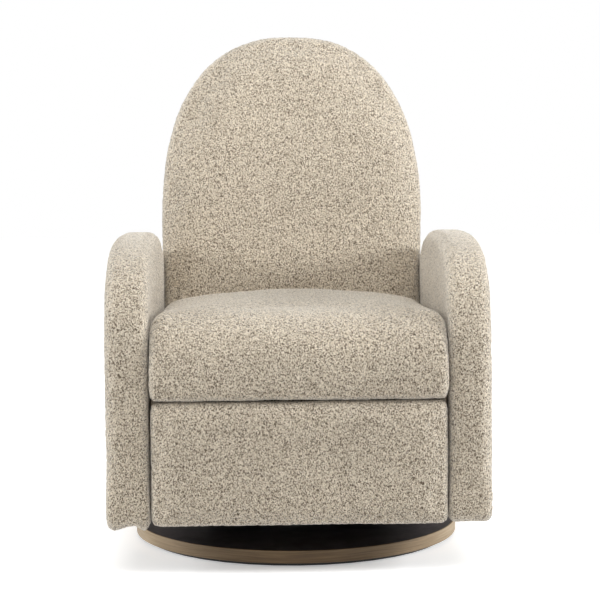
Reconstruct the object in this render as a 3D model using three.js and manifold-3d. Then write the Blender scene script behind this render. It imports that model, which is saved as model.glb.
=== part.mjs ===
// Glider nursery chair: an arch-backed upholstered recliner that swivels and glides on a round wooden base.
// Millimetres, +Z up. The origin is on the floor under the swivel axis; the sitter faces -Y; +X is the right side
// seen from the front.
import * as THREE from "three";
import { mergeVertices } from "three/addons/utils/BufferGeometryUtils.js";
import Module from "manifold-3d";

const wasm = await Module();
wasm.setup();

// ---------------------------------------------------------------- driving dimensions
const GAP = 0.3; // between touching pieces
const RUNNING = 0.4; // radial clearance of a pin in its bore

const BASE_RADIUS = 345; // round wooden base
const BAND_THICKNESS = 3.7; // bent-wood edge band
const BAND_TOP = 34;
const PAD_THICKNESS = 8; // recessed felt under the base
const DISC_TOP = 32.5;
const BASE_SIDES = 80;

const RACE_INNER = 50; // swivel bearing
const RACE_OUTER = 110;
const RACE_HEIGHT = 6;
const BALL_RADIUS = 3;
const BALL_CIRCLE = 80;
const BALL_COUNT = 10;
const TURNTABLE = { halfX: 190, halfY: 170, thickness: 6 };

const GLIDE_Y = 140; // fore and aft place of the swing links
const GLIDE_TOP = 200; // height of their upper pins
const GLIDE_LENGTH = 110; // so the seat hangs from pins at 90
const STAND_X = [178, 184]; // fixed plates the links hang from
const GLIDE_LINK_X = [187, 193];
const PLATE_X = [213, 218]; // side plates of the moving carriage
const RAIL_X = [266, 288]; // wooden seat rails
const REAR_PANEL_Y = [262, 273];

const SEAT_INNER = 290; // arms' inner faces
const ARM_OUTER = 377;
const ARM = { centreY: -45, halfLength: 350, bottom: 94, spring: 330, top: 650, exponent: 3.2, edge: 28 };
const DECK_BOTTOM = 322.3; // seat deck boards
const DECK_TOP = 338;
const PANEL_BOTTOM = 95; // footrest panel
const PANEL_TOP = 338;
const PANEL_FRONT = -408;
const PANEL_BACK = -368;
const PANEL_HALF = 288;
const BOARD_THICKNESS = 12;

const HINGE = [208, 382]; // back hinge, (y, z)
const BACK_TILT = 13; // degrees the back leans at rest
const BACK = { lowerHalf: 289, upperHalf: 296, spring: 290, top: 720, exponent: 2.4, edge: 44, front: 60, rear: 54 };
const BRACKET_X = [222, 228];

// Footrest linkage pivots with the footrest shut, (y, z).
const PIVOT = {
  rearCarriage: [-224.5, 255],
  driveShaft: [-312.5, 304],
  rearEnd: [-151.5, 143.5],
  crossing: [-239, 197],
  driveEnd: [-234.5, 132.5],
  panelUpper: [-344.5, 297],
  panelLower: [-340, 231],
};
const LINK_LAYER = { inner: [220, 226], outer: [227.5, 233.5], bracket: [235, 241] };
const LINK_RADIUS = 11;
const RIVET = 6;
const LOOSE_RIVET = 5; // rivets of the two pivots that carry the linkage's closing play
const REAR_PLAY = 1.8;
const PANEL_PLAY = 1.3;

const SHAFT_RADIUS = 12; // torque shaft between the two drive links
const CRANK_LENGTH = 70;
const CRANK_ANGLE = 38.7; // below the rearward horizontal, footrest shut
const CHEEK_X = [10, 15]; // the crank's two cheeks pass either side of the actuator rod
const ROD_Z = 247; // actuator axis
const ROD_RADIUS = 9;
const CRANK_DROP = 13.2; // the crank pin's rise and fall about the actuator axis
const YOKE_LAG = 2; // the slotted yoke sits this far behind the pin, which halves the slot's play
const YOKE_PLAY = 2.6;
const CONTROL = { y: -150, z: 553, halfY: 40, halfZ: 18, depth: 17.7 };
const BUTTON = { radius: 9, offset: 20, proud: 1.2, travel: 1.5 };

// ---------------------------------------------------------------- finishes
const finish = (color, roughness, metalness = 0) => new THREE.MeshStandardMaterial({ color, roughness, metalness });
const FABRIC = finish(0xc9b59c, 0.95);
const WOOD = finish(0xc9955c, 0.6);
const PLYWOOD = finish(0xc8a878, 0.75);
const BLACK_TOP = finish(0x17171a, 0.55);
const FELT = finish(0x2b2b2e, 0.95);
const STEEL = finish(0x3a3c40, 0.45, 0.9);
const BRIGHT_STEEL = finish(0xa9acb0, 0.35, 1);
const PLASTIC = finish(0x1d1e20, 0.5);
const BUTTON_PLASTIC = finish(0xb9babc, 0.45);

// ---------------------------------------------------------------- geometry helpers
const radians = THREE.MathUtils.degToRad;
const ALONG_X = new THREE.Matrix4().makeBasis(
  new THREE.Vector3(0, 1, 0), new THREE.Vector3(0, 0, 1), new THREE.Vector3(1, 0, 0));
const ALONG_MINUS_Y = new THREE.Matrix4().makeBasis(
  new THREE.Vector3(1, 0, 0), new THREE.Vector3(0, 0, 1), new THREE.Vector3(0, -1, 0));

function solid(geometry) {
  const bare = geometry.clone();
  bare.deleteAttribute("normal");
  bare.deleteAttribute("uv");
  const merged = mergeVertices(bare, 1e-3);
  const vertProperties = new Float32Array(merged.attributes.position.array);
  const triVerts = new Uint32Array(merged.index.array);
  return new wasm.Manifold(new wasm.Mesh({ numProp: 3, vertProperties, triVerts }));
}

function shell(manifold) {
  const mesh = manifold.getMesh();
  const geometry = new THREE.BufferGeometry();
  geometry.setAttribute("position", new THREE.BufferAttribute(mesh.vertProperties, 3));
  geometry.setIndex(new THREE.BufferAttribute(mesh.triVerts, 1));
  geometry.computeVertexNormals();
  return geometry;
}

const join = (...pieces) => shell(pieces.map(solid).reduce((a, b) => a.add(b)));
const cut = (piece, ...tools) => shell(tools.map(solid).reduce((a, b) => a.subtract(b), solid(piece)));
const overlap = (a, b) => shell(solid(a).intersect(solid(b)));

// Extrudes a closed outline, with its edge rounded inside the outline when edge is over 0.
function slab(shape, depth, edge = 0, curveSegments = 12, bevelSegments = 3) {
  return new THREE.ExtrudeGeometry(shape, {
    depth: depth - 2 * edge,
    bevelEnabled: edge > 0,
    bevelSize: edge,
    bevelThickness: edge,
    bevelOffset: -edge,
    bevelSegments,
    curveSegments,
  }).translate(0, 0, edge);
}

// A (y, z) outline extruded across the chair between two x values of either sign.
function acrossX(shape, [a, b], edge = 0, curveSegments = 12) {
  const start = Math.min(a, b);
  return slab(shape, Math.abs(b - a), edge, curveSegments).translate(0, 0, start).applyMatrix4(ALONG_X);
}

// An (x, z) outline extruded along the chair between two y values.
function alongY(shape, [a, b], edge = 0, curveSegments = 12) {
  const rear = Math.max(a, b);
  return slab(shape, Math.abs(b - a), edge, curveSegments).translate(0, 0, -rear).applyMatrix4(ALONG_MINUS_Y);
}

function block([x0, x1], [y0, y1], [z0, z1]) {
  const size = [Math.abs(x1 - x0), Math.abs(y1 - y0), Math.abs(z1 - z0)];
  return new THREE.BoxGeometry(...size).translate((x0 + x1) / 2, (y0 + y1) / 2, (z0 + z1) / 2);
}

function pinX([y, z], radius, [a, b], sides = 12) {
  const pin = new THREE.CylinderGeometry(radius, radius, Math.abs(b - a), sides);
  return pin.rotateZ(Math.PI / 2).translate((a + b) / 2, y, z);
}

function rodY([x, z], radius, [a, b], sides = 20) {
  return new THREE.CylinderGeometry(radius, radius, Math.abs(b - a), sides).translate(x, (a + b) / 2, z);
}

function discZ(radius, [z0, z1], sides) {
  return new THREE.CylinderGeometry(radius, radius, z1 - z0, sides).rotateX(Math.PI / 2).translate(0, 0, (z0 + z1) / 2);
}

function ringZ(inner, outer, [z0, z1], sides) {
  const corners = [[inner, z0], [outer, z0], [outer, z1], [inner, z1], [inner, z0]];
  const profile = corners.map(([r, z]) => new THREE.Vector2(r, z));
  return new THREE.LatheGeometry(profile, sides).rotateX(Math.PI / 2);
}

// A flat bar with round ends from pivot p to pivot q, both (y, z).
function bar(p, q, radius, layer) {
  const heading = Math.atan2(q[1] - p[1], q[0] - p[0]);
  const outline = new THREE.Shape();
  outline.absarc(q[0], q[1], radius, heading - Math.PI / 2, heading + Math.PI / 2, false);
  outline.absarc(p[0], p[1], radius, heading + Math.PI / 2, heading + 1.5 * Math.PI, false);
  outline.closePath();
  return acrossX(outline, layer, 0, 4);
}

function outlineOf(points) {
  return new THREE.Shape(points.map(([a, b]) => new THREE.Vector2(a, b)));
}

function roundedRectangle(halfA, halfB, radius) {
  const shape = new THREE.Shape();
  shape.absarc(halfA - radius, halfB - radius, radius, 0, Math.PI / 2);
  shape.absarc(radius - halfA, halfB - radius, radius, Math.PI / 2, Math.PI);
  shape.absarc(radius - halfA, radius - halfB, radius, Math.PI, 1.5 * Math.PI);
  shape.absarc(halfA - radius, radius - halfB, radius, 1.5 * Math.PI, 2 * Math.PI);
  shape.closePath();
  return shape;
}

// Straight sides up to the spring line, then half a superellipse; (0, 0) is under the crown.
function archPoints({ half, foot, spring, top, exponent }, steps = 24) {
  const points = [[half, foot]];
  for (let i = 0; i <= steps; i++) {
    const t = (Math.PI * i) / steps;
    const across = half * Math.sign(Math.cos(t)) * Math.abs(Math.cos(t)) ** (2 / exponent);
    points.push([across, spring + (top - spring) * Math.sin(t) ** (2 / exponent)]);
  }
  points.push([-half, foot]);
  return points;
}

// ---------------------------------------------------------------- scene graph
const chair = new THREE.Group();
const SIDES = [["left", -1], ["right", 1]];
const mirrored = (side, [a, b]) => [side * a, side * b];

function add(name, geometry, material, parent = chair) {
  const mesh = new THREE.Mesh(geometry, material);
  mesh.name = name;
  parent.add(mesh);
  return mesh;
}

// ---------------------------------------------------------------- round base and swivel bearing
const lowerRace = [DISC_TOP + GAP, DISC_TOP + GAP + RACE_HEIGHT];
const balls = [lowerRace[1] + GAP, lowerRace[1] + GAP + 2 * BALL_RADIUS];
const upperRace = [balls[1] + GAP, balls[1] + GAP + RACE_HEIGHT];
const plate = [upperRace[1] + GAP, upperRace[1] + GAP + TURNTABLE.thickness];

function ballRing() {
  const middle = (balls[0] + balls[1]) / 2;
  const cage = ringZ(BALL_CIRCLE - 8, BALL_CIRCLE + 8, [middle - 1, middle + 1], 24);
  const spheres = Array.from({ length: BALL_COUNT }, (_, i) => {
    const turn = (2 * Math.PI * i) / BALL_COUNT;
    const ball = new THREE.SphereGeometry(BALL_RADIUS, 8, 4);
    return ball.translate(BALL_CIRCLE * Math.cos(turn), BALL_CIRCLE * Math.sin(turn), middle);
  });
  return join(cage, ...spheres);
}

function kingPin() {
  const flange = discZ(40, [DISC_TOP + GAP, DISC_TOP + 3], 32);
  const shaft = discZ(10, [DISC_TOP + 1, plate[1] + 6], 20);
  const nut = discZ(17, [plate[1] + GAP, plate[1] + 8], 6);
  return join(flange, shaft, nut);
}

function buildBase() {
  const discRadius = BASE_RADIUS - BAND_THICKNESS - GAP;
  const foot = PAD_THICKNESS + GAP;
  add("floor_pad", discZ(discRadius - 12, [0, PAD_THICKNESS], BASE_SIDES / 2), FELT);
  add("base_disc", discZ(discRadius, [foot, DISC_TOP], BASE_SIDES), BLACK_TOP);
  add("base_band", ringZ(BASE_RADIUS - BAND_THICKNESS, BASE_RADIUS, [foot, BAND_TOP], BASE_SIDES), WOOD);
  add("swivel_lower_race", ringZ(RACE_INNER, RACE_OUTER, lowerRace, 32), BRIGHT_STEEL);
  add("swivel_king_pin", kingPin(), BRIGHT_STEEL);
  add("swivel_ball_ring", ballRing(), BRIGHT_STEEL);
  add("swivel_upper_race", ringZ(RACE_INNER, RACE_OUTER, upperRace, 32), BRIGHT_STEEL);
  const table = slab(roundedRectangle(TURNTABLE.halfX, TURNTABLE.halfY, 20), TURNTABLE.thickness, 0, 4);
  const bore = discZ(10 + RUNNING, [plate[0] - 1, plate[1] + 1], 20);
  add("turntable_plate", cut(table.translate(0, 0, plate[0]), bore), STEEL);
}

// ---------------------------------------------------------------- glide stands and swing links
function gliderStand(side) {
  const foot = plate[1] + GAP;
  const web = outlineOf([[-165, foot], [165, foot], [165, 190], [150, 216], [-150, 216], [-165, 190]]);
  const flange = block(mirrored(side, [140, STAND_X[1]]), [-165, 165], [foot, foot + 5]);
  const bores = [-GLIDE_Y, GLIDE_Y].map((y) => pinX([y, GLIDE_TOP], 7 + RUNNING, mirrored(side, [170, 190])));
  return cut(join(acrossX(web, mirrored(side, STAND_X)), flange), ...bores);
}

function glideLink(side, y) {
  const top = [y, GLIDE_TOP];
  const bottom = [y, GLIDE_TOP - GLIDE_LENGTH];
  return join(
    bar(bottom, top, 15, mirrored(side, GLIDE_LINK_X)),
    pinX(top, 7, mirrored(side, [171, 190])),
    pinX(top, 11, mirrored(side, [171, STAND_X[0] - 1])),
    pinX(bottom, 7, mirrored(side, [190, 223])),
    pinX(bottom, 11, mirrored(side, [PLATE_X[1] + 0.7, 223])),
  );
}

function buildGlide() {
  for (const [label, side] of SIDES) {
    add(`glider_stand_${label}`, gliderStand(side), STEEL);
    add(`glide_link_front_${label}`, glideLink(side, -GLIDE_Y), BRIGHT_STEEL);
    add(`glide_link_rear_${label}`, glideLink(side, GLIDE_Y), BRIGHT_STEEL);
  }
}

// ---------------------------------------------------------------- carriage: plates, rails, deck and springs
function carriagePlate(side) {
  const layer = mirrored(side, PLATE_X);
  const through = mirrored(side, [PLATE_X[0] - 5, PLATE_X[1] + 5]);
  const deck = DECK_BOTTOM - GAP;
  const web = outlineOf([
    [-334, deck], [-334, 286], [-300, 272], [-190, 150], [-165, 74], [165, 74], [260, 220], [260, deck],
  ]);
  const tongue = bar([HINGE[0], deck - 20], HINGE, 16, layer);
  const swing = [-GLIDE_Y, GLIDE_Y].map((y) => pinX([y, GLIDE_TOP - GLIDE_LENGTH], 7 + RUNNING, through));
  return cut(
    join(acrossX(web, layer), tongue),
    ...swing,
    pinX(PIVOT.driveShaft, SHAFT_RADIUS + RUNNING, through, 24),
    pinX(PIVOT.rearCarriage, RIVET + RUNNING, through),
    pinX(HINGE, 8 + RUNNING, through),
  );
}

function sinuousSpring(x) {
  const [front, rear, swing, waves] = [-345, 145, 20, 7];
  class Zigzag extends THREE.Curve {
    getPoint(t, target = new THREE.Vector3()) {
      return target.set(x + swing * Math.sin(2 * Math.PI * waves * t), front + (rear - front) * t, DECK_TOP + 3);
    }
  }
  const wire = new THREE.Shape();
  wire.absarc(0, 0, 1.8, 0, 2 * Math.PI);
  return new THREE.ExtrudeGeometry(wire, { extrudePath: new Zigzag(), steps: 6 * waves, curveSegments: 3 });
}

function buildCarriage() {
  const inside = [-(PLATE_X[0] - GAP), PLATE_X[0] - GAP];
  for (const [label, side] of SIDES) {
    add(`carriage_plate_${label}`, carriagePlate(side), STEEL);
    add(`seat_rail_${label}`, block(mirrored(side, RAIL_X), [-360, 260], [252, DECK_BOTTOM - GAP]), PLYWOOD);
  }
  add("rear_crossbar", block(inside, [225, 255], [ROD_Z - 15, ROD_Z + 15]), STEEL);
  add("front_cross_tube", pinX([-200, 300], 8, inside), STEEL);
  const width = [-RAIL_X[1], RAIL_X[1]];
  add("seat_front_board", block(width, [-362, -318], [DECK_BOTTOM, DECK_TOP]), PLYWOOD);
  add("seat_rear_board", block(width, [100, 160], [DECK_BOTTOM, DECK_TOP]), PLYWOOD);
  [-200, -100, 0, 100, 200].forEach((x, i) => add(`seat_spring_${i + 1}`, sinuousSpring(x), BRIGHT_STEEL));
}

// ---------------------------------------------------------------- upholstery on the carriage
function seatCushion() {
  const side = new THREE.Shape();
  side.moveTo(144, 345);
  side.lineTo(-388, 345);
  side.quadraticCurveTo(-402, 345, -403, 362);
  side.quadraticCurveTo(-410, 505, -285, 521);
  side.quadraticCurveTo(-90, 534, 60, 524);
  side.quadraticCurveTo(144, 516, 144, 470);
  side.closePath();
  const front = new THREE.Shape();
  front.moveTo(-287, 340);
  front.lineTo(287, 340);
  front.lineTo(287, 468);
  front.quadraticCurveTo(287, 496, 252, 506);
  front.quadraticCurveTo(150, 530, 0, 530);
  front.quadraticCurveTo(-150, 530, -252, 506);
  front.quadraticCurveTo(-287, 496, -287, 468);
  front.closePath();
  return overlap(acrossX(side, [-287, 287], 0, 10), alongY(front, [-420, 150], 0, 6));
}

function armOutline(inset, bottom) {
  const points = archPoints({
    half: ARM.halfLength - inset,
    foot: bottom,
    spring: ARM.spring,
    top: ARM.top - inset,
    exponent: ARM.exponent,
  });
  return outlineOf(points.map(([along, up]) => [ARM.centreY + along, up]));
}

function armPad(side) {
  const body = acrossX(armOutline(0, ARM.bottom), mirrored(side, [SEAT_INNER, ARM_OUTER]), ARM.edge);
  const pocket = acrossX(armOutline(36, ARM.bottom - 10), mirrored(side, [324.5, 343.5]));
  return side < 0 ? cut(body, pocket) : cut(body, pocket, controlPocket());
}

function controlPocket() {
  const { y, z, halfY, halfZ, depth } = CONTROL;
  const outline = roundedRectangle(halfY + GAP, halfZ + GAP, 8);
  return acrossX(outline, [ARM_OUTER - depth - GAP, ARM_OUTER + 5], 0, 4).translate(0, y, z);
}

function buildUpholstery() {
  add("seat_cushion", seatCushion(), FABRIC);
  for (const [label, side] of SIDES) {
    add(`arm_pad_${label}`, armPad(side), FABRIC);
    add(`arm_frame_${label}`, acrossX(armOutline(37.5, ARM.bottom + 6), mirrored(side, [325, 343])), PLYWOOD);
  }
  const rear = roundedRectangle(287, 127, 10);
  add("rear_panel", alongY(rear, REAR_PANEL_Y, 4, 2).translate(0, 0, 223), FABRIC);
}

// ---------------------------------------------------------------- controls and power
const buttonY = (sign) => CONTROL.y + sign * BUTTON.offset;
const BUTTON_NAMES = [["open_button", -1], ["close_button", 1]];

function buildControls() {
  const face = ARM_OUTER;
  const housing = acrossX(roundedRectangle(CONTROL.halfY, CONTROL.halfZ, 8), [face - CONTROL.depth, face], 0, 4);
  const wells = BUTTON_NAMES.map(([, sign]) =>
    pinX([buttonY(sign), CONTROL.z], BUTTON.radius + RUNNING, [face - 10, face + 1], 24));
  add("control_housing", cut(housing.translate(0, CONTROL.y, CONTROL.z), ...wells), PLASTIC);
  for (const [name, sign] of BUTTON_NAMES) {
    const reach = [face - 10 + BUTTON.travel + 1, face + BUTTON.proud];
    add(name, pinX([buttonY(sign), CONTROL.z], BUTTON.radius, reach, 24), BUTTON_PLASTIC);
  }
  add("control_box", block([-160, -70], [190, 225 - GAP], [226, 268]), PLASTIC);
  const inletRear = REAR_PANEL_Y[1] + 13;
  const inlet = block([86, 114], [REAR_PANEL_Y[1] + GAP, inletRear], [116, 144]);
  add("power_inlet", cut(inlet, block([92, 108], [inletRear - 9, inletRear + 1], [122, 138])), PLASTIC);
}

function actuatorHousing() {
  const gearCase = block([-30, 78], [188, 225 - GAP], [ROD_Z - 30, ROD_Z + 30]);
  const tube = rodY([0, ROD_Z], 19, [-150, 190]);
  const bore = rodY([0, ROD_Z], ROD_RADIUS + RUNNING, [-151, 120]);
  return cut(join(gearCase, tube), bore);
}

// The rod pushes the crank pin through an upright slot, because the pin swings on an arc while the rod runs straight.
function actuatorRod() {
  const eyeY = crankPin()[0] + YOKE_LAG;
  const [halfWidth, halfHeight, halfThickness] = [17, 33, 6];
  const yoke = acrossX(roundedRectangle(halfWidth, halfHeight, 8), [-halfThickness, halfThickness], 0, 4);
  const [slotHalf, slotRise] = [RIVET + YOKE_PLAY, CRANK_DROP + RIVET + 3];
  const slot = acrossX(roundedRectangle(slotHalf, slotRise, slotHalf - 0.1), [-10, 10], 0, 6);
  const rod = rodY([0, ROD_Z], ROD_RADIUS, [110, eyeY + halfWidth - 4]);
  return cut(join(yoke.translate(0, eyeY, ROD_Z), rod), slot.translate(0, eyeY, ROD_Z));
}

function buildActuator() {
  add("actuator_housing", actuatorHousing(), PLASTIC);
  add("actuator_motor", rodY([52, ROD_Z], 21, [60, 188 - GAP], 24), STEEL);
  add("actuator_rod", actuatorRod(), BRIGHT_STEEL);
}

// ---------------------------------------------------------------- footrest linkage and panel
function crankPin() {
  const [y, z] = PIVOT.driveShaft;
  const drop = radians(CRANK_ANGLE);
  return [y + CRANK_LENGTH * Math.cos(drop), z - CRANK_LENGTH * Math.sin(drop)];
}

function driveCrank() {
  const [cheekInner, cheekOuter] = CHEEK_X;
  const cheeks = SIDES.map(([, side]) => bar(PIVOT.driveShaft, crankPin(), 10, mirrored(side, CHEEK_X)));
  const hub = pinX(PIVOT.driveShaft, 17, [-cheekOuter, cheekOuter], 24);
  const bore = pinX(PIVOT.driveShaft, SHAFT_RADIUS + GAP, [-cheekOuter - 1, cheekOuter + 1], 24);
  const pin = pinX(crankPin(), RIVET, [-cheekInner - 1, cheekInner + 1]);
  return cut(join(...cheeks, hub, pin), bore);
}

function rearLink(side) {
  const layer = mirrored(side, LINK_LAYER.inner);
  return join(
    bar(PIVOT.rearCarriage, PIVOT.rearEnd, LINK_RADIUS, layer),
    pinX(PIVOT.rearCarriage, RIVET, mirrored(side, [207, 223])),
    pinX(PIVOT.rearCarriage, RIVET + 3, mirrored(side, [207, PLATE_X[0] - 1])),
    pinX(PIVOT.rearEnd, LOOSE_RIVET, mirrored(side, [223, LINK_LAYER.outer[1] + 1])),
  );
}

function driveLink(side) {
  const layer = mirrored(side, LINK_LAYER.inner);
  const reach = mirrored(side, [223, LINK_LAYER.outer[1] + 1]);
  const bore = pinX(PIVOT.driveShaft, SHAFT_RADIUS + GAP, mirrored(side, [215, 230]), 24);
  return cut(
    join(
      bar(PIVOT.driveShaft, PIVOT.crossing, LINK_RADIUS, layer),
      bar(PIVOT.crossing, PIVOT.driveEnd, LINK_RADIUS, layer),
      pinX(PIVOT.driveShaft, 17, layer, 24),
      pinX(PIVOT.crossing, RIVET, reach),
      pinX(PIVOT.driveEnd, RIVET, reach),
    ),
    bore,
  );
}

function longLink(side) {
  const layer = mirrored(side, LINK_LAYER.outer);
  const through = mirrored(side, [LINK_LAYER.outer[0] - 1, LINK_LAYER.outer[1] + 1]);
  const eye = LOOSE_RIVET + REAR_PLAY + RUNNING;
  return cut(
    join(
      bar(PIVOT.rearEnd, PIVOT.crossing, LINK_RADIUS, layer),
      bar(PIVOT.crossing, PIVOT.panelUpper, LINK_RADIUS, layer),
      pinX(PIVOT.rearEnd, eye + 5, layer, 20),
      pinX(PIVOT.panelUpper, RIVET, mirrored(side, [230, LINK_LAYER.bracket[1] + 1])),
    ),
    pinX(PIVOT.rearEnd, eye, through, 20),
    pinX(PIVOT.crossing, RIVET + RUNNING, through),
  );
}

function shortLink(side) {
  const through = mirrored(side, [LINK_LAYER.outer[0] - 1, LINK_LAYER.outer[1] + 1]);
  return cut(
    join(
      bar(PIVOT.driveEnd, PIVOT.panelLower, LINK_RADIUS, mirrored(side, LINK_LAYER.outer)),
      pinX(PIVOT.panelLower, LOOSE_RIVET, mirrored(side, [230, LINK_LAYER.bracket[1] + 1])),
    ),
    pinX(PIVOT.driveEnd, RIVET + RUNNING, through),
  );
}

function footrestBracket(side) {
  const [x0, x1] = LINK_LAYER.bracket;
  const rear = PANEL_BACK - 2 + GAP; // the board's rear face
  const web = block(mirrored(side, [x0, x1]), [rear, -340], [224, 308]);
  const flange = block(mirrored(side, [x0, 262]), [rear, rear + 3], [220, 312]);
  const through = mirrored(side, [x0 - 1, x1 + 1]);
  return cut(
    join(bar(PIVOT.panelLower, PIVOT.panelUpper, 12, mirrored(side, [x0, x1])), web, flange),
    pinX(PIVOT.panelUpper, RIVET + RUNNING, through),
    pinX(PIVOT.panelLower, LOOSE_RIVET + PANEL_PLAY + RUNNING, through, 20),
  );
}

function footrestPad() {
  const middle = (PANEL_TOP + PANEL_BOTTOM) / 2;
  const height = PANEL_TOP - PANEL_BOTTOM;
  const body = alongY(roundedRectangle(PANEL_HALF, height / 2, 18), [PANEL_FRONT, PANEL_BACK], 12, 4);
  const pocket = block([-272.3, 272.3], [PANEL_BACK - 2 - BOARD_THICKNESS - GAP, PANEL_BACK + 5],
    [-height / 2 + 14, height / 2 - 14]);
  return cut(body, pocket).translate(0, 0, middle);
}

function buildFootrest() {
  for (const [label, side] of SIDES) {
    add(`footrest_rear_link_${label}`, rearLink(side), STEEL);
    add(`footrest_drive_link_${label}`, driveLink(side), STEEL);
    add(`footrest_long_link_${label}`, longLink(side), STEEL);
    add(`footrest_short_link_${label}`, shortLink(side), STEEL);
    add(`footrest_bracket_${label}`, footrestBracket(side), STEEL);
  }
  const reach = LINK_LAYER.inner[1] + 1;
  add("footrest_torque_shaft", pinX(PIVOT.driveShaft, SHAFT_RADIUS, [-reach, reach], 24), BRIGHT_STEEL);
  add("footrest_crank", driveCrank(), STEEL);
  const boardRear = PANEL_BACK - 2;
  const board = block([-272, 272], [boardRear - BOARD_THICKNESS, boardRear], [PANEL_BOTTOM + 15, PANEL_TOP - 15]);
  add("footrest_board", board, PLYWOOD);
  add("footrest_pad", footrestPad(), FABRIC);
}

// ---------------------------------------------------------------- reclining back
// Built in its own frame: origin on the hinge, X across, Y up along the back, Z out of its front face.
function backOutline(foot) {
  const { lowerHalf, upperHalf, spring, top, exponent } = BACK;
  const arch = archPoints({ half: upperHalf, foot: spring, spring, top, exponent }, 28).slice(1, -1);
  return outlineOf([[lowerHalf, foot], [lowerHalf, spring - 90], ...arch, [-lowerHalf, spring - 90], [-lowerHalf, foot]]);
}

// The lower end is a half round about the hinge axis, so it turns in place as the back reclines.
function backSideOutline() {
  const shape = new THREE.Shape();
  shape.absarc(0, 0, BACK.front, Math.PI / 2, 1.5 * Math.PI);
  shape.lineTo(BACK.top + 10, -BACK.front);
  shape.lineTo(BACK.top + 10, BACK.front);
  shape.closePath();
  return shape;
}

function backFramePanel(grow, depth, foot) {
  const arch = archPoints({ half: 221.5 + grow, foot, spring: 290, top: 640 + grow, exponent: BACK.exponent }, 20);
  return slab(outlineOf(arch), depth).translate(0, 0, -depth / 2);
}

function backPad() {
  const depth = BACK.front + BACK.rear;
  const arch = slab(backOutline(-80), depth, BACK.edge, 12, 4).translate(0, 0, -BACK.rear);
  const span = BACK.upperHalf + 10;
  const body = overlap(arch, acrossX(backSideOutline(), [-span, span], 0, 10));
  const slots = SIDES.flatMap(([, side]) => {
    const across = mirrored(side, [205, 229.5]);
    return [block(across, [-100, 20], [-depth, depth]), block(across, [0, 206], [-19, 19])];
  });
  return cut(body, backFramePanel(0.5, 19, -100), ...slots);
}

function backBracket(side) {
  const [x0, x1] = BRACKET_X;
  const strap = block(mirrored(side, [x0, x1]), [0, 200], [-14, 14]);
  const eye = pinX([0, 0], 16, mirrored(side, [x0, x1]), 20);
  const pin = pinX([0, 0], 8, mirrored(side, [207, x0 + 2]), 20);
  return join(strap, eye, pin, pinX([0, 0], 11, mirrored(side, [207, PLATE_X[0] - 1]), 20));
}

function buildBack() {
  const back = new THREE.Group();
  back.position.set(0, ...HINGE);
  back.rotation.x = radians(90 - BACK_TILT);
  chair.add(back);
  add("back_pad", backPad(), FABRIC, back);
  add("back_frame", backFramePanel(0, 18, 30), PLYWOOD, back);
  for (const [label, side] of SIDES) add(`back_bracket_${label}`, backBracket(side), STEEL, back);
}

buildBase();
buildGlide();
buildCarriage();
buildUpholstery();
buildControls();
buildActuator();
buildFootrest();
buildBack();

export default chair;
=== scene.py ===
# Glider nursery chair: its looks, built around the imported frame. Metres, +Z up; the sitter faces -Y.
import itertools
import math

import bmesh
import bpy
import numpy as np
from mathutils import Matrix, Vector
from mathutils.bvhtree import BVHTree


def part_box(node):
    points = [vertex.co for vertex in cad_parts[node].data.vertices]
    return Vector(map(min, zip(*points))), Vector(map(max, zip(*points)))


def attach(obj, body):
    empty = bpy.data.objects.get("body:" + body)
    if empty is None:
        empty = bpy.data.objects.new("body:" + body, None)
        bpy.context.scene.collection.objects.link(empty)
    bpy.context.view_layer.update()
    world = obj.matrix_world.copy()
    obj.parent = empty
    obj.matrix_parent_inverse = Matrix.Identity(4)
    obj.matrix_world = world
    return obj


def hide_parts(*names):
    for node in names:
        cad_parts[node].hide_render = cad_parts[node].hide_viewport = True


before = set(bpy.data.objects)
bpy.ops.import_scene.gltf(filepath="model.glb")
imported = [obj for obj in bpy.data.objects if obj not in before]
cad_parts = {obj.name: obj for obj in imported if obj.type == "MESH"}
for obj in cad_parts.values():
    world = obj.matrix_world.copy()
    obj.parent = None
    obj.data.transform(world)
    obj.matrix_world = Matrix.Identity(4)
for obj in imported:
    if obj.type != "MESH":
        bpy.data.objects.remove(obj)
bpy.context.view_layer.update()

# ---------------------------------------------------------------- driving values
CAMERA = {"distance": 3.620, "height": 0.8036, "azimuth": -1.19, "down": 4.77, "roll": -0.478}
CAMERA_LENS = 101.25
CAMERA_SHIFT = 0.0097

SURROUND_LIGHT = 0.26  # strength of the surroundings as a light; the camera sees them at 1
FLOOR_GLOW = 0.36
FLOOR_BOUNCE = 0.53  # the floor's albedo to bounced light; the camera sees a paler one
WARM_LIGHT, COOL_LIGHT = (1, 0.98, 0.94), (0.97, 0.985, 1)
LAMP_AIM = Vector((0, 0, 0.55))  # the middle of the chair
SOFTBOXES = {  # place and power
    "softbox_top": ((0.10, -0.9, 2.1), 10),
    "softbox_right": ((3.5, -0.5, 1.5), 118),
    "softbox_left": ((-3.5, -0.5, 1.5), 80),
}

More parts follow.
